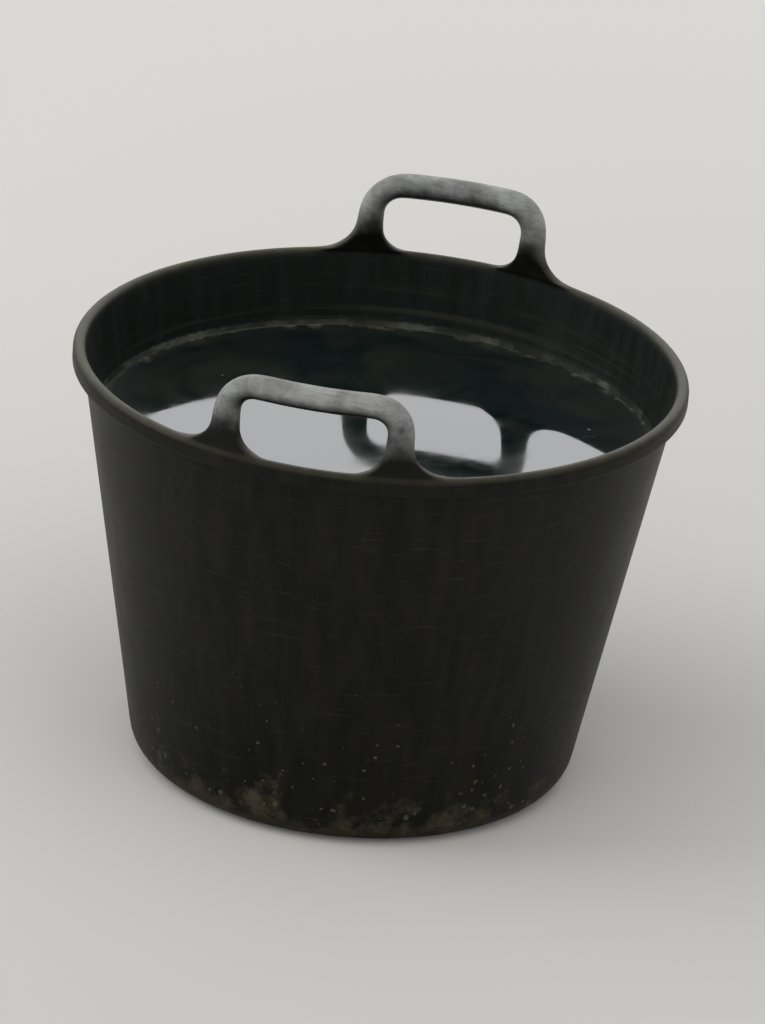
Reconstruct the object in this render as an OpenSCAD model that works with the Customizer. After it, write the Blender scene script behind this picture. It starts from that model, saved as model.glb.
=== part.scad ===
// Flexible two-handled tub: one moulding with a tapered round wall, a rolled rim,
// two loop handles that grow out of the rim, and a raised bottom on a foot ring.
// The origin is the middle of the foot, Z is up, and the handles lie on +Y and -Y.

/* [Rim] */
// Outside diameter of the rolled rim
rim_d = 570; // [520:5:620]
// Height from the floor to the top of the rim
rim_h = 400; // [340:5:460]
// Width of the rolled rim, from its inner face to its outer face
rim_w = 12; // [11:0.5:15]
// Depth of the rolled rim, from its top to the edge of its skirt
rim_deep = 17; // [15:1:24]
// Thickness of the skirt that hangs outside the groove under the rim
skirt_t = 4; // [3:0.5:5]

/* [Wall] */
// Thickness of the wall
wall_t = 3.6; // [2.8:0.2:4.8]

/* [Bottom] */
// Diameter at which the outer face of the wall, carried straight down, meets the floor
base_d = 410; // [370:5:450]
// Thickness of the bottom
base_t = 4.4; // [3:0.2:6]
// Outer radius of the corner between the wall and the bottom
corner_r = 30; // [20:1:40]
// Width of the flat foot ring
foot_w = 16; // [10:1:30]
// How far the bottom rises inside the foot ring
foot_rise = 4; // [2:0.5:7]
// Diameter of the outer stiffening ring under the bottom
ring_outer_d = 230; // [180:5:260]
// Diameter of the inner stiffening ring under the bottom
ring_inner_d = 120; // [70:5:150]
// Width of a stiffening ring
ring_w = 4; // [3:0.5:8]
// How far a stiffening ring stands down from the bottom
ring_deep = 1.4; // [0.8:0.2:1.8]
// Diameter of the moulding mark at the middle of the bottom
gate_d = 22; // [14:1:40]
// Depth of the moulding mark
gate_deep = 1.2; // [0.6:0.2:1.8]

/* [Handles] */
// Height of a handle above the top of the rim
handle_h = 80; // [68:1:95]
// Distance between the middles of a handle's two posts, measured round the rim
post_gap = 160; // [130:2:200]
// Diameter of the grip
grip_d = 24; // [18:1:27]
// Diameter that a post reaches at the rim
post_d = 31; // [26:1:38]
// Radius of a handle's top corners, to the middle of the grip
bend_r = 28; // [20:1:34]
// How far the middle of the grip lies inside the middle of the rim
grip_in = 2; // [0:0.5:3]
// Radius of the fillet where a post flares out along the rim
root_out_r = 32; // [16:1:40]
// Radius of the fillet at the hand gap's lower corners
root_in_r = 24; // [12:1:30]
// Thickness of the web inside a fillet
web_t = 10; // [8:0.5:10.5]

/* [Hidden] */
$fn = 96;
// How far one surface is carried into its neighbour where the two would only touch
bite = 0.8;

// Rim: a round-topped roll whose middle lies at rim_mid_r and rim_mid_z
rim_r = rim_d / 2;
roll_r = rim_w / 2;
rim_mid_r = rim_r - roll_r;
rim_mid_z = rim_h - roll_r;
skirt_z = rim_h - rim_deep;
groove_z = rim_mid_z - roll_r / 2;
skirt_edge_r = skirt_t / 2;

// Wall: its inner face is tangent to the roll, so its lean follows from both ends
base_r = base_d / 2;
wall_run = rim_mid_r - base_r;
lean = atan2(wall_run, rim_mid_z) - asin((roll_r - wall_t) / norm([wall_run, rim_mid_z]));
slope = tan(lean);
function wall_outer(z) = base_r + slope * z;
function wall_inner(z) = wall_outer(z) - wall_t / cos(lean);

// Corner: the middle of an arc that touches a level line below it and a leaning face
function corner_mid(z0, r0, r) = [r0 + slope * (z0 + r) - r / cos(lean), z0 + r];
// A point of that arc's touch on the leaning face, a hair inside the arc
function corner_touch(mid, r) = mid + (r - 0.01) * [cos(lean), -sin(lean)];
corner_in_r = corner_r - wall_t;
out_mid = corner_mid(0, base_r, corner_r);
in_mid = corner_mid(base_t, wall_inner(0), corner_in_r);
foot_out = out_mid[0];
foot_in = foot_out - foot_w;
rise_run = foot_rise + base_t / 2;
floor_z = foot_rise + base_t;

// Handles: a round grip on the circle grip_r, bent down into two posts
grip_half = grip_d / 2;
post_r = rim_mid_r - grip_in;
grip_r = sqrt(post_r * post_r - bend_r * bend_r);
grip_z = rim_h + handle_h - grip_half;
post_top = grip_z - bend_r;
post_bottom = rim_mid_z - bite;
bar_half_a = (post_gap / 2 - bend_r) / grip_r * 180 / PI;
post_a = bar_half_a + asin(bend_r / post_r);
// The bar is a hair thinner than its bends, so that its ends sit inside them
bar_in = 0.1;
bar_end_a = bar_half_a + bite / grip_r * 180 / PI;
// A post thins to waist_t at the rim, between two scoops of this radius
waist_t = rim_w - 2;
thin_run = post_top + bite - rim_mid_z;
thin_in = (grip_d + 2 * grip_in + 4 * bite - waist_t) / 2;
scoop_r = (thin_run * thin_run + thin_in * thin_in) / (2 * thin_in);
// A fillet ends below the bend, where the post is still straight
function post_half(z) = post_d / 2 + (grip_half - post_d / 2) * (z - post_bottom) / (post_top - post_bottom);
fillet_out_r = min(root_out_r, post_top - rim_h);
fillet_in_r = min(root_in_r, post_top - rim_h);

// Half section of the outside of the wall and bottom, filled to the axis
module outer_section() {
    polygon([
        [0, foot_rise],
        [foot_in - rise_run, foot_rise],
        [foot_in, 0],
        [foot_out, 0],
        corner_touch(out_mid, corner_r),
        [wall_outer(rim_mid_z), rim_mid_z],
        [0, rim_mid_z]
    ]);
    translate(out_mid) circle(r = corner_r);
}

// Half section of the space inside the tub
module inner_section() {
    polygon([
        [-1, floor_z],
        [foot_in - rise_run, floor_z],
        [foot_in, base_t],
        [in_mid[0], base_t],
        corner_touch(in_mid, corner_in_r),
        [wall_inner(rim_h), rim_h],
        [-1, rim_h]
    ]);
    translate(in_mid) circle(r = corner_in_r);
}

// Half section of the rolled rim: a round top and a skirt outside a groove
module rim_section() {
    difference() {
        union() {
            translate([rim_mid_r, rim_mid_z]) circle(r = roll_r);
            translate([wall_outer(skirt_z), skirt_z + skirt_edge_r])
                square([rim_r - wall_outer(skirt_z), rim_mid_z - skirt_z - skirt_edge_r]);
            translate([rim_r - skirt_edge_r, skirt_z + skirt_edge_r]) circle(r = skirt_edge_r);
        }
        translate([rim_mid_r - roll_r - 1, skirt_z - 1])
            square([rim_w - skirt_t + 1, groove_z - skirt_z + 1]);
    }
}

// The round body, turned from its half sections
module shell() {
    rotate_extrude() {
        difference() {
            outer_section();
            inner_section();
        }
        rim_section();
    }
}

// One stiffening ring under the bottom
module stiffening_ring(d) {
    translate([0, 0, foot_rise - ring_deep]) difference() {
        cylinder(d = d + ring_w, h = ring_deep + base_t / 2);
        translate([0, 0, -1]) cylinder(d = d - ring_w, h = ring_deep + base_t / 2 + 2);
    }
}

// The space that a post may fill: it thins towards the rim
module post_envelope() {
    rotate_extrude() difference() {
        translate([rim_mid_r - waist_t / 2 - thin_in, post_bottom])
            square([waist_t + 2 * thin_in, post_top - post_bottom + 1]);
        for (side = [-1, 1])
            translate([rim_mid_r + side * (waist_t / 2 + scoop_r), rim_mid_z]) circle(r = scoop_r);
    }
}

// Web in the angle between a post and the rim, with a round hollow edge, towards +X or -X.
// It stands in the plane that meets the rim at the middle of the web's length.
module root_web(r, way) {
    half_t = web_t / 2;
    arc_x = post_half(rim_h + r) - bite + r;
    web_h = rim_h + r - bite - post_bottom;
    turn = asin(arc_x / 2 / rim_mid_r);
    rotate([0, 0, -way * turn]) translate([-way * arc_x / 2, rim_mid_r * (1 + cos(turn)) / 2, 0]) difference() {
        translate([way * arc_x / 2, 0, post_bottom + web_h / 2]) cube([arc_x, web_t, web_h], center = true);
        translate([way * arc_x, 0, rim_h - bite + r]) rotate([90, 0, 0]) rotate_extrude() difference() {
            translate([0, -half_t - 1]) square([r + half_t, web_t + 2]);
            translate([r + half_t, 0]) circle(r = half_t);
        }
    }
}

// One side of a handle: the bend, the post and its two webs, towards +X or -X of +Y
module handle_side(way) {
    rotate([0, 0, -way * bar_half_a]) translate([0, grip_r, post_top])
        rotate([90, 0, 0]) rotate([0, 0, way > 0 ? 0 : 90]) rotate_extrude(angle = 90)
            translate([bend_r, 0]) circle(r = grip_half);
    intersection() {
        rotate([0, 0, -way * bar_half_a]) translate([0, grip_r, post_top])
            translate([way * bend_r, 0, 0]) rotate([180, 0, 0])
                cylinder(d1 = grip_d, d2 = post_d, h = post_top - post_bottom);
        post_envelope();
    }
    rotate([0, 0, -way * post_a]) {
        root_web(fillet_out_r, way);
        root_web(fillet_in_r, -way);
    }
}

// A loop handle on the +Y side of the rim
module handle() {
    rotate([0, 0, 90 - bar_end_a]) rotate_extrude(angle = 2 * bar_end_a)
        translate([grip_r, grip_z]) circle(r = grip_half - bar_in);
    for (way = [-1, 1]) handle_side(way);
}

// The whole moulding
module tub() {
    color("#1d1f1c") difference() {
        union() {
            shell();
            stiffening_ring(ring_outer_d);
            stiffening_ring(ring_inner_d);
            for (turn = [0, 180]) rotate([0, 0, turn]) handle();
        }
        translate([0, 0, foot_rise - 1]) cylinder(d = gate_d, h = gate_deep + 1);
    }
}

tub();
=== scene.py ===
import bmesh
import bpy
import math
from mathutils import Euler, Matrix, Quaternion


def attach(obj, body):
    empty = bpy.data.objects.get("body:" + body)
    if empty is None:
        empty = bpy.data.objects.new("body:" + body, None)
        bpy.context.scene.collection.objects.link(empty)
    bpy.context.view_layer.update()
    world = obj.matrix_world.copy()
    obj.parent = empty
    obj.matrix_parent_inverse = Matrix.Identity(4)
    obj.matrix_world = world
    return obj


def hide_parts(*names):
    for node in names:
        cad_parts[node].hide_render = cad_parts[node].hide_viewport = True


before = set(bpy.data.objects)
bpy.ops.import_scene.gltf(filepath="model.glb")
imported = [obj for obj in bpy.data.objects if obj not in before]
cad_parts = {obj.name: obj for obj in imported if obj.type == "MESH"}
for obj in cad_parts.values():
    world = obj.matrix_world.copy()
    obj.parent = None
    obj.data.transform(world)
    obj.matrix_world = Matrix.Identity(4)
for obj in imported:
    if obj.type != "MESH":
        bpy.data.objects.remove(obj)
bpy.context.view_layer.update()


# The tub is one injection moulding in flexible low-density polyethylene, black all through: a tapered
# round wall, a rolled rim with a skirt, a raised bottom on a foot ring, and two loop handles whose posts
# flare out into the rim. It's stiff enough to stand, but its wall and rim are never quite true.
mm = 0.001
stations = 120
rim_r = 284.3 * mm
rim_h = 399.8 * mm
roll_r = 6 * mm
skirt_drop = 17 * mm
skirt_t = 4 * mm
wall_t = 3.6 * mm
base_r = 205 * mm
base_t = 4.4 * mm
corner_r = 30 * mm
foot_w = 16 * mm
foot_rise = 4 * mm
rise_run = foot_rise + base_t / 2
floor_z = foot_rise + base_t
stiffening_rings = [(60 * mm, 2 * mm), (115 * mm, 2 * mm)]
ring_drop = 1.4 * mm
mark_r = 11 * mm
mark_rise = 1.2 * mm

roll_mid_r = rim_r - roll_r
roll_mid_z = rim_h - roll_r
groove_z = roll_mid_z - roll_r / 2
skirt_z = rim_h - skirt_drop
lean = (math.atan2(roll_mid_r - base_r, roll_mid_z)
        - math.asin((roll_r - wall_t) / math.hypot(roll_mid_r - base_r, roll_mid_z)))
slope = math.tan(lean)


def wall_outside(z):
    """Radius of the wall's outer face at that height."""
    return base_r + slope * z


def wall_inside(z):
    """Radius of the wall's inner face at that height."""
    return wall_outside(z) - wall_t / math.cos(lean)


def arc(mid, radius, first, last, count):
    """Points of an arc in degrees, carried out by what subdivision will pull them in."""
    step = math.radians(last - first) / (count - 1)
    reach = radius * 3 / (2 + math.cos(step))
    turns = [math.radians(first) + i * step for i in range(count)]
    return [(mid[0] + reach * math.cos(t), mid[1] + reach * math.sin(t)) for t in turns]


corner_out = (base_r + slope * corner_r - corner_r / math.cos(lean), corner_r)
corner_in_r = corner_r - wall_t
corner_in = (wall_inside(0) + slope * (base_t + corner_in_r) - corner_in_r / math.cos(lean),
             base_t + corner_in_r)
foot_out = corner_out[0]
foot_in = foot_out - foot_w
lean_deg = math.degrees(lean)
edge = 0.7 * mm
groove_edge = 0.3 * mm
groove_in = 2 * mm
groove_lead = 3 * mm
wall_outside_heights = [z * mm for z in (45, 90, 150, 210, 270, 330, 370)]
wall_inside_heights = [z * mm for z in (380, 350, 310, 250, 190, 130, 70)]
floor_rings = [90 * mm, 20 * mm]

# Half section of the moulding, from the middle of the underside, out, up, over the rim and back in.
# Two points near each other keep an edge small and tight when the mesh is subdivided.
half_section = [(mark_r - edge, foot_rise + mark_rise), (mark_r, foot_rise + mark_rise - edge / 2),
                (mark_r + edge, foot_rise)]
for ring_r, ring_half in stiffening_rings:
    half_section += [(ring_r - ring_half - edge, foot_rise),
                     (ring_r - ring_half + edge / 2, foot_rise - ring_drop),
                     (ring_r + ring_half - edge / 2, foot_rise - ring_drop),
                     (ring_r + ring_half + edge, foot_rise)]
half_section += [(foot_in - rise_run - edge, foot_rise), (foot_in - rise_run + 2 * edge, foot_rise - edge),
                 (foot_in - edge, edge), (foot_in + edge, 0)]
half_section += arc(corner_out, corner_r, 270, 360 - lean_deg, count=7)
half_section += [(wall_outside(z), z) for z in wall_outside_heights]
half_section += [(wall_outside(groove_z - groove_lead), groove_z - groove_lead),
                 (wall_outside(groove_z) + groove_edge, groove_z),
                 (rim_r - skirt_t - groove_edge, groove_z), (rim_r - skirt_t, groove_z - groove_in)]
half_section += arc((rim_r - skirt_t / 2, skirt_z + skirt_t / 2), skirt_t / 2, 180, 360, count=5)
half_section += [(rim_r, roll_mid_z - groove_lead)]
roll_start = len(half_section)
half_section += arc((roll_mid_r, roll_mid_z), roll_r, 0, 180 - lean_deg, count=7)
half_section += [(wall_inside(z), z) for z in wall_inside_heights]
half_section += arc(corner_in, corner_in_r, 360 - lean_deg, 270, count=5)
half_section += [(foot_in + edge, base_t), (foot_in - edge, base_t + edge),
                 (foot_in - rise_run + edge, floor_z - edge), (foot_in - rise_run - edge, floor_z)]
half_section += [(r, floor_z) for r in floor_rings]

station_step = 2 * math.pi / stations
true_round = 3 / (2 + math.cos(station_step))


def place(turn, radius, z):
    """A point of the tub from its angle from +Y towards +X, its radius and height."""
    return (radius * math.sin(turn), radius * math.cos(turn), z)


mesh = bmesh.new()
grid = [[mesh.verts.new(place(s * station_step, r * true_round, z)) for r, z in half_section]
        for s in range(stations)]
underside_mid = mesh.verts.new((0, 0, foot_rise + mark_rise))
floor_mid = mesh.verts.new((0, 0, floor_z))

# Each post stands in a hole in the roll's top, four strips wide and six stations long
post_first, post_last = 3, 9
roll_first, roll_last = roll_start + 1, roll_start + 5
holes = set()
for handle_station in (0, stations // 2):
    for s in range(post_first, post_last):
        holes.add((handle_station + s) % stations)
        holes.add((handle_station - s - 1) % stations)
for s in range(stations):
    here, there = grid[s], grid[(s + 1) % stations]
    for p in range(len(half_section) - 1):
        if not (s in holes and roll_first <= p < roll_last):
            mesh.faces.new((here[p], there[p], there[p + 1], here[p + 1]))
    mesh.faces.new((underside_mid, there[0], here[0]))
    mesh.faces.new((floor_mid, here[-1], there[-1]))

# The handle: sections from one hole, up its post, round the bend, along the grip and down the other post
handle_h = 80 * mm
grip_r = 12 * mm
grip_in = 2 * mm
post_x = 80.5 * mm
post_half_low = 14.6 * mm
bend_r = 28 * mm
flare_away_r = 32 * mm
flare_gap_r = 24 * mm
waist_half = 5 * mm
scoop_r = 110 * mm
handle_mid_r = roll_mid_r - grip_in
bar_mid_r = math.sqrt(handle_mid_r ** 2 - bend_r ** 2)
grip_z = rim_h + handle_h - grip_r
bend_z = grip_z - bend_r
around = 20
a_quarter = around // 4
post_heights = [h * mm for h in (0.9, 2.4, 4.6, 7.6, 11.5, 16, 21, 27, 33)]
bend_turns = [math.radians(t) for t in (0, 18, 36, 54, 72, 90)]
bar_places = (0.8, 0.6, 0.4, 0.2)
# How much of its reach along the rim, and of its thickness, a point of the flare has, from its tip to its side
flare_reach = (1.0, 0.985, 0.9, 0.6, 0.3, 0.0)
flare_thick = (0.0, 0.62, 1.0, 1.0, 1.0, 1.0)


def quarter(j):
    """Which way section point j lies, away from the gap and outwards, and its place in its quarter."""
    j %= around
    if j <= a_quarter:
        return -1, 1, j
    if j <= 2 * a_quarter:
        return 1, 1, 2 * a_quarter - j
    if j <= 3 * a_quarter:
        return 1, -1, j - 2 * a_quarter
    return -1, -1, around - j


def post_section(height):
    """Points (along the rim, outwards, up) of a post at that height above the rim."""
    share = height / (bend_z - rim_h)
    round_share = share * share * (3 - 2 * share)
    half = post_half_low + (grip_r - post_half_low) * share
    thick = min(half, waist_half + scoop_r - math.sqrt(scoop_r ** 2 - (height + roll_r) ** 2))
    points = []
    for j in range(around):
        away, out, k = quarter(j)
        flare_r = flare_away_r if away > 0 else flare_gap_r
        rise = min(height, flare_r)
        reach = half + flare_r - math.sqrt(2 * flare_r * rise - rise * rise)
        turn = math.radians(360 / around * j)
        x = (1 - round_share) * away * flare_reach[k] * reach - round_share * math.cos(turn) * half
        y = (1 - round_share) * out * flare_thick[k] * thick + round_share * math.sin(turn) * thick
        points.append((post_x + x, y, rim_h + height))
    return points


def grip_section(turn, x):
    """Points of the round grip where it has turned that far over, with its middle at x along the rim."""
    tube_r = grip_r * 3 / (2 + math.cos(2 * math.pi / around))
    sunk = handle_mid_r - math.hypot(bar_mid_r, bend_r * math.cos(turn))
    points = []
    for j in range(around):
        a = 2 * math.pi * j / around
        points.append((x - math.cos(turn) * math.cos(a) * tube_r, math.sin(a) * tube_r - sunk,
                       bend_z + math.sin(turn) * (bend_r - math.cos(a) * tube_r)))
    return points


half_handle = [post_section(height) for height in post_heights]
half_handle += [grip_section(turn, post_x - bend_r * (1 - math.cos(turn))) for turn in bend_turns]
half_handle += [grip_section(math.pi / 2, (post_x - bend_r) * share) for share in bar_places]
whole_handle = half_handle + [grip_section(math.pi / 2, 0)]
whole_handle += [[(-x, y, z) for x, y, z in section] for section in reversed(half_handle)]


def hole_edge(handle_station, way):
    """The tub's own points round the hole of a handle's post on that side, in the order of a section."""
    last = roll_last - roll_first
    near, far = way * post_first, way * post_last
    ends = [(near, p) for p in range(last // 2, -1, -1)]
    ends += [(way * s, 0) for s in range(post_first + 1, post_last)]
    ends += [(far, p) for p in range(last + 1)]
    ends += [(way * s, last) for s in range(post_last - 1, post_first, -1)]
    ends += [(near, p) for p in range(last, last // 2, -1)]
    return [grid[(handle_station + s) % stations][roll_first + p] for s, p in ends]


for handle_station in (0, stations // 2):
    handle_turn = handle_station * station_step
    loops = [hole_edge(handle_station, 1)]
    for section in whole_handle:
        loops.append([mesh.verts.new(place(handle_turn + x / handle_mid_r, handle_mid_r + y, z))
                      for x, y, z in section])
    loops.append(hole_edge(handle_station, -1))
    for low, high in zip(loops, loops[1:]):
        for j in range(around):
            mesh.faces.new((low[j], low[(j + 1) % around], high[(j + 1) % around], high[j]))

# Flexible walls stand a little out of true: long low waves that die out at the foot, each given here by its
# height in millimetres, how many of it go round, and where it starts. The handles have taken a set too: both
# lean a little towards +X, and the one on -Y has sunk by a few millimetres.
waves_round = ((0.36, 2, 0.9), (0.22, 3, 2.2), (0.12, 5, 4))
lean_back, lean_front = 5 * mm, 4 * mm
sink_back, sink_front = 0 * mm, 3.5 * mm
for v in mesh.verts:
    set_share = (max(v.co.z - rim_h, 0) / handle_h) ** 2
    if set_share > 0:
        v.co.x += (lean_back if v.co.y > 0 else lean_front) * set_share
        v.co.z -= (sink_back if v.co.y > 0 else sink_front) * set_share
    turn = math.atan2(v.co.x, v.co.y)
    share = min(v.co.z / rim_h, 1)
    wave = sum(size * math.cos(count * turn + phase) for size, count, phase in waves_round) * mm * share
    radius = math.hypot(v.co.x, v.co.y)
    if radius > base_r / 2:
        v.co.x *= 1 + wave / radius
        v.co.y *= 1 + wave / radius

bmesh.ops.recalc_face_normals(mesh, faces=mesh.faces)
for face in mesh.faces:
    face.smooth = True
tub_mesh = bpy.data.meshes.new("tub_moulding")
mesh.to_mesh(tub_mesh)
mesh.free()
tub = bpy.data.objects.new("tub_moulding", tub_mesh)
bpy.context.scene.collection.objects.link(tub)
smoothing = tub.modifiers.new("smoothing", "SUBSURF")
smoothing.levels = smoothing.render_levels = 1
graph = bpy.context.evaluated_depsgraph_get()
smooth_mesh = bpy.data.meshes.new_from_object(tub.evaluated_get(graph), depsgraph=graph)
tub.modifiers.remove(smoothing)
tub.data = smooth_mesh
for v in smooth_mesh.vertices:
    v.co.z = max(v.co.z, 0)

# Points inside the tub carry 1 in "inside", for what only the inner wall gets: those over the middle of the
# bottom's thickness, and nearer to the axis than the middle of the wall's and of the corner's
inside = smooth_mesh.attributes.new("inside", "FLOAT", "POINT")
for i, v in enumerate(smooth_mesh.vertices):
    radius = math.hypot(v.co.x, v.co.y)
    bottom_mid = base_t / 2 + foot_rise * min(max((foot_in - radius) / rise_run, 0), 1)
    in_wall = radius < wall_outside(v.co.z) - wall_t / 2
    from_corner = math.hypot(max(radius - corner_out[0], 0), min(v.co.z - corner_r, 0))
    in_corner = v.co.z > corner_r or from_corner < corner_r - wall_t / 2
    inside.data[i].value = float(bottom_mid < v.co.z < rim_h - mm and in_wall and in_corner)


def hex_colour(code):
    """An sRGB hex colour as the linear colour that a shader takes."""
    shares = [int(code[i:i + 2], 16) / 255 for i in (1, 3, 5)]
    return tuple(s / 12.92 if s <= 0.04045 else ((s + 0.055) / 1.055) ** 2.4 for s in shares) + (1,)


def add(tree, kind, values=None, links=None, **settings):
    """Adds a node to a tree: its settings, its inputs' values, and the outputs that its inputs take."""
    made = tree.nodes.new(kind)
    for name, value in settings.items():
        setattr(made, name, value)
    for socket, value in (values or {}).items():
        made.inputs[socket].default_value = value
    for socket, source in (links or {}).items():
        tree.links.new(source, made.inputs[socket])
    return made


# Black low-density polyethylene as it leaves a satin mould: carbon black through and through, with a soft
# waxy gloss. A film of dust lies on it, rinsed in streaks down the wall, thicker on what faces up, where the
# paler coat is partly a painted sheen. The grips are pale with chalk and a painted highlight, level lines of
# old water stay inside, and mud is splashed low outside.
plastic = bpy.data.materials.new("moulded_black_polyethylene")
plastic.use_nodes = True
nodes = plastic.node_tree
nodes.nodes.clear()
spot = add(nodes, "ShaderNodeTexCoord").outputs["Object"]
facing = add(nodes, "ShaderNodeNewGeometry").outputs["Normal"]
height = add(nodes, "ShaderNodeSeparateXYZ", links={0: spot}).outputs["Z"]
upward = add(nodes, "ShaderNodeSeparateXYZ", links={0: facing}).outputs["Z"]
within = add(nodes, "ShaderNodeAttribute", attribute_name="inside").outputs["Fac"]
outer = add(nodes, "ShaderNodeMath", {0: 1}, {1: within}, operation="SUBTRACT").outputs[0]

# Cloudy shade of the plastic, patches of about 60 mm
cloud = add(nodes, "ShaderNodeTexNoise", {"Scale": 16, "Detail": 4, "Roughness": 0.6},
            {"Vector": spot}).outputs["Fac"]
shade = add(nodes, "ShaderNodeMix", {"A": hex_colour("#0b0c0a"), "B": hex_colour("#131411")}, {"Factor": cloud},
            data_type="RGBA")

# What lies on the wall and the rim, but not on the handles
below_handles = add(nodes, "ShaderNodeMapRange", {"From Min": 408 * mm, "From Max": 396 * mm},
                    {"Value": height}).outputs[0]

# Scuffs run mostly round the wall, about 2 mm high and some tens of mm long
rub_spot = add(nodes, "ShaderNodeMapping", {"Scale": (22, 22, 420)}, {"Vector": spot}).outputs[0]
rub_noise = add(nodes, "ShaderNodeTexNoise", {"Scale": 1, "Detail": 5, "Roughness": 0.7, "Distortion": 0.6},
                {"Vector": rub_spot}).outputs["Fac"]
rub_part = add(nodes, "ShaderNodeMapRange", {"From Min": 0.57, "From Max": 0.75, "To Max": 0.55},
               {"Value": rub_noise}).outputs[0]
rub = add(nodes, "ShaderNodeMath", links={0: rub_part, 1: below_handles}, operation="MULTIPLY").outputs[0]
rubbed = add(nodes, "ShaderNodeMix", {"B": hex_colour("#3a3b35")},
             {"Factor": rub, "A": shade.outputs["Result"]}, data_type="RGBA")

# The film of dust on the wall, rinsed by spilt water in streaks about 15 mm wide and 200 mm long. Inside, a
# thin greenish film from the water lies over it evenly.
streak_spot = add(nodes, "ShaderNodeMapping", {"Scale": (65, 65, 5)}, {"Vector": spot}).outputs[0]
streak = add(nodes, "ShaderNodeTexNoise", {"Scale": 1, "Detail": 6, "Roughness": 0.62},
             {"Vector": streak_spot}).outputs["Fac"]
film_part = add(nodes, "ShaderNodeMapRange", {"From Min": 0.4, "From Max": 0.74, "To Max": 0.16},
                {"Value": streak}).outputs[0]
film_out = add(nodes, "ShaderNodeMath", links={0: film_part, 1: below_handles}, operation="MULTIPLY").outputs[0]
film = add(nodes, "ShaderNodeMath", {1: 0.08}, {0: within, 2: film_out}, operation="MULTIPLY_ADD").outputs[0]
film_shade = add(nodes, "ShaderNodeMix", {"A": hex_colour("#413e2f"), "B": hex_colour("#364340")},
                 {"Factor": within}, data_type="RGBA")
filmed = add(nodes, "ShaderNodeMix",
             links={"Factor": film, "A": rubbed.outputs["Result"], "B": film_shade.outputs["Result"]},
             data_type="RGBA")

# Dust lies on what faces up and stays dry, thicker in some places than others, in patches of about 17 mm.
# On the tops of the rim and grips this paler coat is also a painted sheen, standing in for the sky's gloss
# there.
dust_noise = add(nodes, "ShaderNodeTexNoise", {"Scale": 60, "Detail": 7, "Roughness": 0.7},
                 {"Vector": spot}).outputs["Fac"]
# Painted sheen: the up-facing mask makes the tops paler partly for the sky's gloss on them, and partly for dust
up_facing_dust_and_sheen = add(nodes, "ShaderNodeMapRange", {"From Min": 0.2, "From Max": 0.95, "To Max": 0.74},
              {"Value": upward}).outputs[0]
dust_and_sheen_high = add(nodes, "ShaderNodeMapRange", {"From Min": 345 * mm, "From Max": 360 * mm},
               {"Value": height}).outputs[0]
dust_and_sheen_top = add(nodes, "ShaderNodeMath", links={0: up_facing_dust_and_sheen, 1: dust_and_sheen_high}, operation="MULTIPLY").outputs[0]
dust_and_sheen = add(nodes, "ShaderNodeMath", links={0: dust_and_sheen_top, 1: dust_noise}, operation="MULTIPLY").outputs[0]
# This colour is partly dust and partly a painted sheen on the tops of the rim and grips
dust_and_sheen_coated = add(nodes, "ShaderNodeMix", {"B": hex_colour("#625e4f")},
            {"Factor": dust_and_sheen, "A": filmed.outputs["Result"]}, data_type="RGBA")

# The grips are pale on all but their undersides, partly from chalk bleached by sun and hands and partly as a
# painted highlight of the sky's gloss on them, and the paleness fades out down the posts. It's thinner in
# patches of about 35 mm, where hands rub, and darker plastic shows through it in flecks of 2 to 5 mm.
# Fine scratches run along the grip.
# Painted highlight: this up-facing mask pales the grips partly for the sky's gloss on them, and partly for
# chalk
up_facing_chalk_and_sheen = add(nodes, "ShaderNodeMapRange", {"From Min": -0.9, "From Max": 0.4}, {"Value": upward},
              interpolation_type="SMOOTHSTEP").outputs[0]
chalk_and_sheen_high = add(nodes, "ShaderNodeMapRange", {"From Min": 402 * mm, "From Max": 463 * mm}, {"Value": height},
                interpolation_type="SMOOTHSTEP").outputs[0]
chalk_and_sheen_place = add(nodes, "ShaderNodeMath", links={0: up_facing_chalk_and_sheen, 1: chalk_and_sheen_high}, operation="MULTIPLY").outputs[0]
fleck = add(nodes, "ShaderNodeTexNoise", {"Scale": 190, "Detail": 6, "Roughness": 0.75},
            {"Vector": spot}).outputs["Fac"]
fleck_push = add(nodes, "ShaderNodeMapRange",
                 {"From Min": 0.25, "From Max": 0.75, "To Min": -0.16, "To Max": 0.16},
                 {"Value": fleck}).outputs[0]
patch = add(nodes, "ShaderNodeTexNoise", {"Scale": 28, "Detail": 3, "Roughness": 0.6},
            {"Vector": spot}).outputs["Fac"]
patch_push = add(nodes, "ShaderNodeMapRange",
                 {"From Min": 0.3, "From Max": 0.7, "To Min": -0.42, "To Max": 0.24},
                 {"Value": patch}).outputs[0]
push = add(nodes, "ShaderNodeMath", links={0: fleck_push, 1: patch_push}, operation="ADD").outputs[0]
chalk_and_sheen_any = add(nodes, "ShaderNodeMapRange", {"From Max": 0.7}, {"Value": chalk_and_sheen_place}).outputs[0]
push_here = add(nodes, "ShaderNodeMath", links={0: push, 1: chalk_and_sheen_any}, operation="MULTIPLY").outputs[0]
chalk_and_sheen_sum = add(nodes, "ShaderNodeMath", links={0: chalk_and_sheen_place, 1: push_here}, operation="ADD").outputs[0]
chalk_and_sheen_edge = add(nodes, "ShaderNodeMapRange", {"From Min": 0.08, "From Max": 0.98, "To Max": 0.9},
                {"Value": chalk_and_sheen_sum}).outputs[0]
scratch_spot = add(nodes, "ShaderNodeMapping", {"Scale": (30, 520, 520)}, {"Vector": spot}).outputs[0]
scratch_noise = add(nodes, "ShaderNodeTexNoise", {"Scale": 1, "Detail": 3, "Roughness": 0.6},
                    {"Vector": scratch_spot}).outputs["Fac"]
scratch = add(nodes, "ShaderNodeMapRange", {"From Min": 0.3, "From Max": 0.5, "To Min": 0.72},
              {"Value": scratch_noise}).outputs[0]
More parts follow.
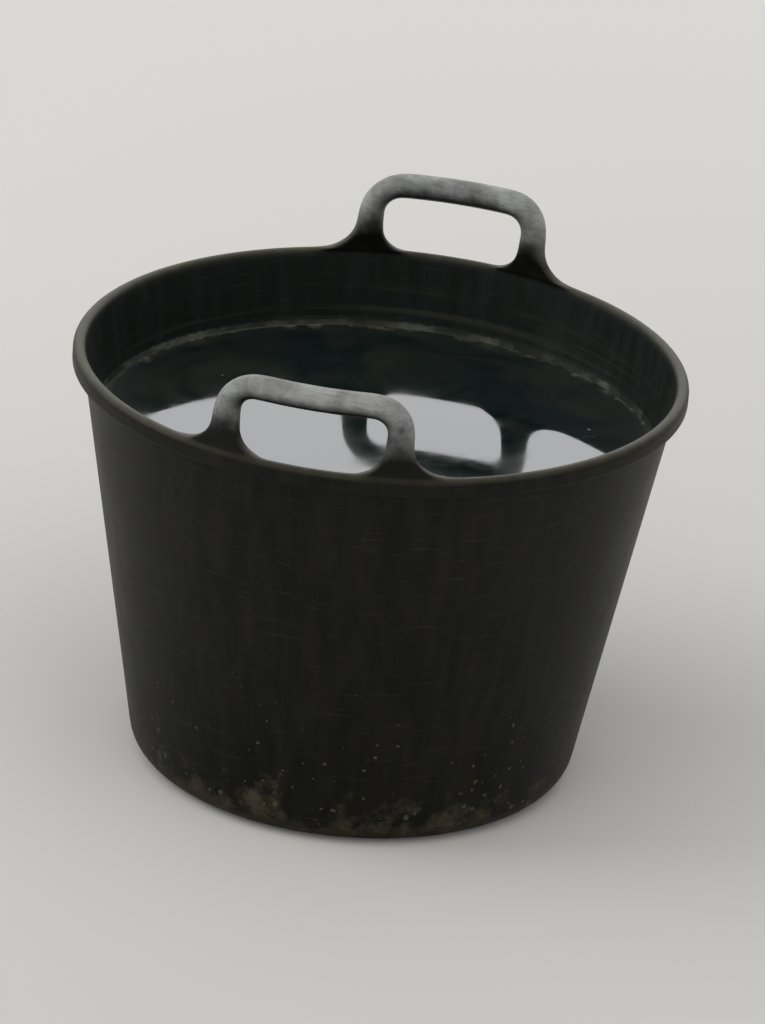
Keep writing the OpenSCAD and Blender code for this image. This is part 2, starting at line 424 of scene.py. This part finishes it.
chalk_and_sheen = add(nodes, "ShaderNodeMath", links={0: chalk_and_sheen_edge, 1: scratch}, operation="MULTIPLY").outputs[0]
# Pale grey that is partly chalk and partly a painted highlight of the sky on the grips
chalk_and_sheen_colour = add(nodes, "ShaderNodeMix", {"A": hex_colour("#838582"), "B": hex_colour("#b3b4b0")}, {"Factor": patch},
            data_type="RGBA")
chalked_and_sheened = add(nodes, "ShaderNodeMix",
               links={"Factor": chalk_and_sheen, "A": dust_and_sheen_coated.outputs["Result"], "B": chalk_and_sheen_colour.outputs["Result"]},
               data_type="RGBA")

# Lines that falling water has left inside, a few mm apart and level. It now stands 74 mm under the rim.
water_level = 326 * mm
line_spot = add(nodes, "ShaderNodeMapping", {"Scale": (3, 3, 170)}, {"Vector": spot}).outputs[0]
line_noise = add(nodes, "ShaderNodeTexNoise", {"Scale": 1, "Detail": 3, "Roughness": 0.55},
                 {"Vector": line_spot}).outputs["Fac"]
line = add(nodes, "ShaderNodeMapRange", {"From Min": 0.5, "From Max": 0.7, "To Max": 0.5},
           {"Value": line_noise}).outputs[0]
line_low = add(nodes, "ShaderNodeMapRange",
               {"From Min": water_level + 55 * mm, "From Max": water_level + 5 * mm},
               {"Value": height}).outputs[0]
line_part = add(nodes, "ShaderNodeMath", links={0: line, 1: line_low}, operation="MULTIPLY").outputs[0]
lined_in = add(nodes, "ShaderNodeMath", links={0: line_part, 1: within}, operation="MULTIPLY").outputs[0]
lined = add(nodes, "ShaderNodeMix", {"B": hex_colour("#45443c")},
            {"Factor": lined_in, "A": chalked_and_sheened.outputs["Result"]}, data_type="RGBA")

# A pale broken line of lime and scum where the water has stood longest, up to 8 mm over its level now
scum_wave = add(nodes, "ShaderNodeMath", {1: 8 * mm}, {0: fleck}, operation="MULTIPLY").outputs[0]
scum_height = add(nodes, "ShaderNodeMath", links={0: height, 1: scum_wave}, operation="SUBTRACT").outputs[0]
scum_low = add(nodes, "ShaderNodeMapRange",
               {"From Min": water_level + 4 * mm, "From Max": water_level + 1.5 * mm}, {"Value": scum_height},
               interpolation_type="SMOOTHSTEP").outputs[0]
scum_patch = add(nodes, "ShaderNodeMapRange",
                 {"From Min": 0.42, "From Max": 0.66, "To Min": 0.12, "To Max": 0.85}, {"Value": cloud},
                 interpolation_type="SMOOTHSTEP").outputs[0]
scum_in = add(nodes, "ShaderNodeMath", links={0: scum_low, 1: within}, operation="MULTIPLY").outputs[0]
scum = add(nodes, "ShaderNodeMath", links={0: scum_in, 1: scum_patch}, operation="MULTIPLY").outputs[0]
scummed = add(nodes, "ShaderNodeMix", {"B": hex_colour("#65675d")},
              {"Factor": scum, "A": lined.outputs["Result"]}, data_type="RGBA")

# Mud: dried drops 1 to 6 mm across, in cells of 9 mm, fewer and smaller with height, and a haze at the foot
ragged = add(nodes, "ShaderNodeTexNoise", {"Scale": 260, "Detail": 2}, {"Vector": spot}).outputs["Color"]
ragged_by = add(nodes, "ShaderNodeVectorMath", {1: (4 * mm, 4 * mm, 4 * mm)}, {0: ragged},
                operation="MULTIPLY").outputs[0]
drop_spot = add(nodes, "ShaderNodeVectorMath", links={0: spot, 1: ragged_by}, operation="ADD").outputs[0]
drop_cell = add(nodes, "ShaderNodeTexVoronoi", {"Scale": 110}, {"Vector": drop_spot}).outputs
drop_pick = add(nodes, "ShaderNodeSeparateColor", links={0: drop_cell["Color"]}).outputs[0]
drop_size = add(nodes, "ShaderNodeMapRange", {"From Min": 0.25, "To Max": 0.34},
                {"Value": drop_pick}).outputs[0]
drop_high = add(nodes, "ShaderNodeMapRange",
                {"From Min": 20 * mm, "From Max": 240 * mm, "To Min": 1.0, "To Max": 0.0},
                {"Value": height}).outputs[0]
drop_reach = add(nodes, "ShaderNodeMath", links={0: drop_size, 1: drop_high}, operation="MULTIPLY").outputs[0]
drop_in = add(nodes, "ShaderNodeMath", links={0: drop_reach, 1: drop_cell["Distance"]},
              operation="SUBTRACT").outputs[0]
drop = add(nodes, "ShaderNodeMapRange", {"From Max": 0.06}, {"Value": drop_in}).outputs[0]
haze_noise = add(nodes, "ShaderNodeTexNoise", {"Scale": 40, "Detail": 8, "Roughness": 0.7},
                 {"Vector": spot}).outputs["Fac"]
haze_limit = add(nodes, "ShaderNodeMapRange", {"From Max": 100 * mm, "To Min": 0.36, "To Max": 0.72},
                 {"Value": height}).outputs[0]
haze_over = add(nodes, "ShaderNodeMath", links={0: haze_noise, 1: haze_limit}, operation="SUBTRACT").outputs[0]
haze = add(nodes, "ShaderNodeMapRange", {"From Max": 0.2, "To Max": 0.75}, {"Value": haze_over}).outputs[0]
splash = add(nodes, "ShaderNodeMath", links={0: drop, 1: haze}, operation="MAXIMUM").outputs[0]
mud = add(nodes, "ShaderNodeMath", links={0: splash, 1: outer}, operation="MULTIPLY").outputs[0]
mud_shade = add(nodes, "ShaderNodeMix", {"A": hex_colour("#463f34"), "B": hex_colour("#766b59")},
                {"Factor": dust_noise}, data_type="RGBA")
mud_part = add(nodes, "ShaderNodeMath", {1: 0.7}, {0: mud}, operation="MULTIPLY").outputs[0]
muddy = add(nodes, "ShaderNodeMix",
            links={"Factor": mud_part, "A": scummed.outputs["Result"], "B": mud_shade.outputs["Result"]},
            data_type="RGBA")

# Gloss: satin where bare, smoother where the grips are bare, dull under film, mud, and the dust and chalk whose
# masks also carry the painted sheen and highlight
bare_gloss = add(nodes, "ShaderNodeMapRange", {"To Min": 0.36, "To Max": 0.5}, {"Value": cloud}).outputs[0]
held = add(nodes, "ShaderNodeMapRange",
           {"From Min": 395 * mm, "From Max": 430 * mm, "To Min": 1.0, "To Max": 0.62},
           {"Value": height}).outputs[0]
held_gloss = add(nodes, "ShaderNodeMath", links={0: bare_gloss, 1: held}, operation="MULTIPLY").outputs[0]
dull_some = add(nodes, "ShaderNodeMath", {1: 0.5}, {0: dust_and_sheen}, operation="MULTIPLY").outputs[0]
dull_film = add(nodes, "ShaderNodeMath", links={0: dull_some, 1: film}, operation="MAXIMUM").outputs[0]
dull_chalk_and_sheen = add(nodes, "ShaderNodeMath", links={0: dull_film, 1: chalk_and_sheen}, operation="MAXIMUM").outputs[0]
dull = add(nodes, "ShaderNodeMath", links={0: dull_chalk_and_sheen, 1: mud}, operation="MAXIMUM").outputs[0]
gloss = add(nodes, "ShaderNodeMix", {"B": 0.9}, {"Factor": dull, "A": held_gloss},
            data_type="FLOAT").outputs["Result"]

# The mould's grain is under a millimetre and is drawn at 2 mm to show; mud stands proud by half a millimetre
grain = add(nodes, "ShaderNodeTexNoise", {"Scale": 500, "Detail": 2}, {"Vector": spot}).outputs["Fac"]
swell = add(nodes, "ShaderNodeTexNoise", {"Scale": 9, "Detail": 1}, {"Vector": spot}).outputs["Fac"]
grain_bump = add(nodes, "ShaderNodeBump", {"Strength": 0.7, "Distance": 0.06 * mm}, {"Height": grain})
swell_bump = add(nodes, "ShaderNodeBump", {"Strength": 0.6, "Distance": 0.8 * mm},
                 {"Height": swell, "Normal": grain_bump.outputs[0]})
mud_bump = add(nodes, "ShaderNodeBump", {"Strength": 0.7, "Distance": 0.5 * mm},
               {"Height": mud, "Normal": swell_bump.outputs[0]})

# Polyethylene's index is 1.5. The level is turned down until the wall is as dark as the real one.
surface = add(nodes, "ShaderNodeBsdfPrincipled", {"IOR": 1.5, "Specular IOR Level": 0.11},
              {"Base Color": muddy.outputs["Result"], "Roughness": gloss, "Normal": mud_bump.outputs[0]})
add(nodes, "ShaderNodeOutputMaterial", links={"Surface": surface.outputs[0]})
tub.data.materials.clear()
tub.data.materials.append(plastic)
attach(tub, "root")
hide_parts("tub")


# The water is still and dark. It's a level sheet that creeps up the wall by a millimetre where it meets the
# plastic, with ripples too low to see except by what they reflect. Its edge runs a little way into the wall.
into_wall = 0.7 * mm
water_r = wall_inside(water_level) + into_wall

pond = bpy.data.node_groups.new("water_surface", "GeometryNodeTree")
pond_inputs = {}
for name, kind, value in (("Radius", "NodeSocketFloat", water_r), ("Level", "NodeSocketFloat", water_level),
                          ("Cells", "NodeSocketInt", 150), ("Creep height", "NodeSocketFloat", 1.2 * mm),
                          ("Creep reach", "NodeSocketFloat", 2 * mm),
                          ("Ripple height", "NodeSocketFloat", 0.12 * mm),
                          ("Finish", "NodeSocketMaterial", None)):
    pond_inputs[name] = (pond.interface.new_socket(name, in_out="INPUT", socket_type=kind), value)
pond.interface.new_socket("Geometry", in_out="OUTPUT", socket_type="NodeSocketGeometry")
given = add(pond, "NodeGroupInput").outputs
sheet = add(pond, "GeometryNodeMeshGrid", {"Size X": 2, "Size Y": 2},
            {"Vertices X": given["Cells"], "Vertices Y": given["Cells"]})
square = add(pond, "ShaderNodeSeparateXYZ",
             links={0: add(pond, "GeometryNodeInputPosition").outputs[0]}).outputs

# The square sheet is drawn closer at its edges, then bent to a circle with no middle point: each side is
# multiplied by the root of 1 less half the square of the other
drawn = []
for side in (square["X"], square["Y"]):
    angle = add(pond, "ShaderNodeMath", {1: math.pi / 2}, {0: side}, operation="MULTIPLY").outputs[0]
    drawn.append(add(pond, "ShaderNodeMath", links={0: angle}, operation="SINE").outputs[0])
round_sides = []
for this, other in (drawn, drawn[::-1]):
    squared = add(pond, "ShaderNodeMath", links={0: other, 1: other}, operation="MULTIPLY").outputs[0]
    halved = add(pond, "ShaderNodeMath", {1: 0.5}, {0: squared}, operation="MULTIPLY").outputs[0]
    less = add(pond, "ShaderNodeMath", {0: 1}, {1: halved}, operation="SUBTRACT").outputs[0]
    root = add(pond, "ShaderNodeMath", links={0: less}, operation="SQRT").outputs[0]
    unit = add(pond, "ShaderNodeMath", links={0: this, 1: root}, operation="MULTIPLY").outputs[0]
    full = add(pond, "ShaderNodeMath", links={0: unit, 1: given["Radius"]}, operation="MULTIPLY").outputs[0]
    round_sides.append(full)
flat = add(pond, "ShaderNodeCombineXYZ", links={0: round_sides[0], 1: round_sides[1]}).outputs[0]

# It rises to the wall along a curve that falls off within the creep's reach, and ripples in waves of 70 mm
from_mid = add(pond, "ShaderNodeVectorMath", links={0: flat}, operation="LENGTH").outputs["Value"]
past_wall = add(pond, "ShaderNodeMath", links={0: from_mid, 1: given["Radius"]},
                operation="SUBTRACT").outputs[0]
to_wall = add(pond, "ShaderNodeMath", links={0: past_wall, 1: given["Creep reach"]},
              operation="DIVIDE").outputs[0]
fall_off = add(pond, "ShaderNodeMath", links={0: to_wall}, operation="EXPONENT").outputs[0]
creep = add(pond, "ShaderNodeMath", links={0: fall_off, 1: given["Creep height"]},
            operation="MULTIPLY").outputs[0]
ripple_noise = add(pond, "ShaderNodeTexNoise", {"Scale": 14, "Detail": 1}, {"Vector": flat}).outputs["Fac"]
ripple_up = add(pond, "ShaderNodeMath", {1: 0.5}, {0: ripple_noise}, operation="SUBTRACT").outputs[0]
ripple = add(pond, "ShaderNodeMath", links={0: ripple_up, 1: given["Ripple height"]},
             operation="MULTIPLY").outputs[0]
rise = add(pond, "ShaderNodeMath", links={0: creep, 1: ripple}, operation="ADD").outputs[0]
surface_z = add(pond, "ShaderNodeMath", links={0: given["Level"], 1: rise}, operation="ADD").outputs[0]
spread = add(pond, "ShaderNodeCombineXYZ",
             links={0: round_sides[0], 1: round_sides[1], 2: surface_z}).outputs[0]
laid = add(pond, "GeometryNodeSetPosition",
           links={"Geometry": sheet.outputs["Mesh"], "Position": spread}).outputs[0]
smooth = add(pond, "GeometryNodeSetShadeSmooth", links={"Geometry": laid}).outputs[0]
whole = add(pond, "GeometryNodeRealizeInstances", links={0: smooth}).outputs[0]
finished = add(pond, "GeometryNodeSetMaterial",
               links={"Geometry": whole, "Material": given["Finish"]}).outputs[0]
add(pond, "NodeGroupOutput", links={0: finished})

# Trough water: clear, a touch green and peaty over the black plastic, with the mirror that still water has at
# a low angle. Dust and dirt float on it as specks of 1 to 4 mm, thickest at the wall, where they gather to a
# broken fringe a few mm wide. Fine dust lies on it too as a faint skin, in patches of about 90 mm.
water_look = bpy.data.materials.new("still_water")
water_look.use_nodes = True
nodes = water_look.node_tree
nodes.nodes.clear()
afloat = add(nodes, "ShaderNodeTexCoord").outputs["Object"]
level_spot = add(nodes, "ShaderNodeVectorMath", {1: (1, 1, 0)}, {0: afloat}, operation="MULTIPLY").outputs[0]
from_axis = add(nodes, "ShaderNodeVectorMath", links={0: level_spot}, operation="LENGTH").outputs["Value"]
speck_cell = add(nodes, "ShaderNodeTexVoronoi", {"Scale": 60}, {"Vector": level_spot}).outputs
speck_pick = add(nodes, "ShaderNodeSeparateColor", links={0: speck_cell["Color"]}).outputs[0]
speck_near = add(nodes, "ShaderNodeMapRange",
                 {"From Min": 120 * mm, "From Max": water_r, "To Min": 0.96, "To Max": 0.8},
                 {"Value": from_axis}).outputs[0]
speck_over = add(nodes, "ShaderNodeMath", links={0: speck_pick, 1: speck_near}, operation="SUBTRACT").outputs[0]
speck_size = add(nodes, "ShaderNodeMapRange", {"From Max": 0.15, "To Max": 0.13},
                 {"Value": speck_over}).outputs[0]
speck_in = add(nodes, "ShaderNodeMath", links={0: speck_size, 1: speck_cell["Distance"]},
               operation="SUBTRACT").outputs[0]
speck = add(nodes, "ShaderNodeMapRange", {"From Max": 0.03, "To Max": 0.8}, {"Value": speck_in}).outputs[0]
fringe_noise = add(nodes, "ShaderNodeTexNoise", {"Scale": 45, "Detail": 6, "Roughness": 0.7},
                   {"Vector": level_spot}).outputs["Fac"]
fringe_near = add(nodes, "ShaderNodeMapRange",
                  {"From Min": water_r - 14 * mm, "From Max": water_r, "To Min": -0.66, "To Max": -0.44},
                  {"Value": from_axis}).outputs[0]
fringe_over = add(nodes, "ShaderNodeMath", links={0: fringe_noise, 1: fringe_near}, operation="ADD").outputs[0]
fringe = add(nodes, "ShaderNodeMapRange", {"From Max": 0.2, "To Max": 0.8}, {"Value": fringe_over}).outputs[0]
skin_noise = add(nodes, "ShaderNodeTexNoise", {"Scale": 11, "Detail": 5, "Roughness": 0.6, "Distortion": 0.8},
                 {"Vector": level_spot}).outputs["Fac"]
skin = add(nodes, "ShaderNodeMapRange", {"From Min": 0.42, "From Max": 0.72, "To Max": 0.14},
           {"Value": skin_noise}).outputs[0]
bits = add(nodes, "ShaderNodeMath", links={0: speck, 1: fringe}, operation="MAXIMUM").outputs[0]
afloat_part = add(nodes, "ShaderNodeMath", links={0: bits, 1: skin}, operation="MAXIMUM").outputs[0]
tint = add(nodes, "ShaderNodeMix", {"A": hex_colour("#0e1817"), "B": hex_colour("#5d5a4b")},
           {"Factor": afloat_part}, data_type="RGBA")
mirror = add(nodes, "ShaderNodeMapRange", {"To Min": 0.03, "To Max": 0.6}, {"Value": afloat_part}).outputs[0]
# Water's index is 1.33. With 1.6 its mirror of the studio's lamps is as bright as the real one's of daylight.
surface = add(nodes, "ShaderNodeBsdfPrincipled", {"IOR": 1.6, "Specular IOR Level": 0.5},
              {"Base Color": tint.outputs["Result"], "Roughness": mirror})
add(nodes, "ShaderNodeOutputMaterial", links={"Surface": surface.outputs[0]})

water_mesh = bpy.data.meshes.new("water_start")
water = bpy.data.objects.new("water", water_mesh)
bpy.context.scene.collection.objects.link(water)
filling = water.modifiers.new("filling", "NODES")
filling.node_group = pond
for name, (socket, value) in pond_inputs.items():
    filling[socket.identifier] = water_look if name == "Finish" else value
graph = bpy.context.evaluated_depsgraph_get()
graph.update()
level_mesh = bpy.data.meshes.new_from_object(water.evaluated_get(graph), depsgraph=graph)
water.modifiers.remove(filling)
water.data = level_mesh
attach(water, "root")


# The studio: a plain pale floor that runs without an edge into the plain pale background. Near the tub the
# floor takes light and shadow; from 1 m to 2.6 m away the camera sees it turn to the background's own colour.
pale_grey = hex_colour("#dad8d4")
floor_half = 60
floor_corners = [(x * floor_half, y * floor_half, 0) for x, y in ((-1, -1), (1, -1), (1, 1), (-1, 1))]
floor_mesh = bpy.data.meshes.new("floor")
floor_mesh.from_pydata(floor_corners, [], [(0, 1, 2, 3)])
floor = bpy.data.objects.new("floor", floor_mesh)
bpy.context.scene.collection.objects.link(floor)
floor_look = bpy.data.materials.new("matt_pale_floor")
floor_look.use_nodes = True
nodes = floor_look.node_tree
nodes.nodes.clear()
camera_ray = add(nodes, "ShaderNodeLightPath").outputs["Is Camera Ray"]
from_tub = add(nodes, "ShaderNodeVectorMath", links={0: add(nodes, "ShaderNodeTexCoord").outputs["Object"]},
               operation="LENGTH").outputs["Value"]
far = add(nodes, "ShaderNodeMapRange", {"From Min": 1.0, "From Max": 2.6}, {"Value": from_tub},
          interpolation_type="SMOOTHSTEP").outputs[0]
far_seen = add(nodes, "ShaderNodeMath", links={0: far, 1: camera_ray}, operation="MULTIPLY").outputs[0]
matt = add(nodes, "ShaderNodeBsdfDiffuse", {"Color": pale_grey, "Roughness": 1.0}).outputs[0]
plain = add(nodes, "ShaderNodeEmission", {"Color": pale_grey, "Strength": 1.0}).outputs[0]
floor_mix = add(nodes, "ShaderNodeMixShader", links={0: far_seen, 1: matt, 2: plain}).outputs[0]
add(nodes, "ShaderNodeOutputMaterial", links={"Surface": floor_mix})
floor_mesh.materials.append(floor_look)

world = bpy.data.worlds.new("studio")
bpy.context.scene.world = world
world.use_nodes = True
nodes = world.node_tree
nodes.nodes.clear()
seen = add(nodes, "ShaderNodeLightPath").outputs
seen_any = add(nodes, "ShaderNodeMath", links={0: seen["Is Camera Ray"], 1: seen["Is Glossy Ray"]},
               operation="MAXIMUM").outputs[0]
seen_all = add(nodes, "ShaderNodeMath", links={0: seen_any, 1: seen["Is Transmission Ray"]},
               operation="MAXIMUM").outputs[0]
soft = add(nodes, "ShaderNodeBackground", {"Color": hex_colour("#f0f1f2"), "Strength": 0.6}).outputs[0]
pale = add(nodes, "ShaderNodeBackground", {"Color": pale_grey, "Strength": 1.0}).outputs[0]
both = add(nodes, "ShaderNodeMixShader", links={0: seen_all, 1: soft, 2: pale}).outputs[0]
add(nodes, "ShaderNodeOutputWorld", links={"Surface": both})

# The camera has the photograph's angle: 12 degrees round from the handles' line, looking down on the rim at
# 22 degrees, which is 23.3 at the height that it's aimed at, and rolled by 4.7 degrees. Its lens is long, so
# that the tub fills the frame from the photograph's distance.
view_turn = math.radians(12)
view_lift = math.radians(23.3)
view_roll = math.radians(4.7)
view_distance = 6.13
aim = (12 * mm, 3 * mm, 246 * mm)
to_camera = (math.sin(view_turn) * math.cos(view_lift), -math.cos(view_turn) * math.cos(view_lift),
             math.sin(view_lift))
camera_data = bpy.data.cameras.new("camera")
camera_data.sensor_fit = "VERTICAL"
camera_data.sensor_height = 36
camera_data.lens = 232
camera_data.clip_end = 60
camera = bpy.data.objects.new("camera", camera_data)
bpy.context.scene.collection.objects.link(camera)
camera.location = [aim[i] + view_distance * to_camera[i] for i in range(3)]
unrolled = Euler((math.pi / 2 - view_lift, 0, view_turn)).to_quaternion()
camera.rotation_mode = "QUATERNION"
camera.rotation_quaternion = unrolled @ Quaternion((0, 0, 1), view_roll)
bpy.context.scene.camera = camera

lamp_aim = 0.3


def softbox(name, turn, lift, distance, width, height, power, colour):
    """A broad lamp that faces the tub from an angle round it and a lift above its middle, in degrees."""
    lamp_data = bpy.data.lights.new(name, "AREA")
    lamp_data.shape = "RECTANGLE"
    lamp_data.size, lamp_data.size_y = width, height
    lamp_data.energy = power
    lamp_data.color = hex_colour(colour)[:3]
    lamp = bpy.data.objects.new(name, lamp_data)
    bpy.context.scene.collection.objects.link(lamp)
    t, e = math.radians(turn), math.radians(lift)
    along = distance * math.cos(e)
    lamp.location = (along * math.sin(t), -along * math.cos(t), lamp_aim + distance * math.sin(e))
    lamp.rotation_euler = (math.pi / 2 - e, 0, t)


softbox("window_behind", 192, 28, 9.0, 13.0, 6.4, 525, "#f8fbff")
softbox("window_left", -78, 32, 4.0, 3.0, 2.5, 62, "#ffffff")
softbox("overhead", 20, 80, 5.0, 8.0, 8.0, 100, "#ffffff")

bpy.context.scene.view_settings.view_transform = "Standard"
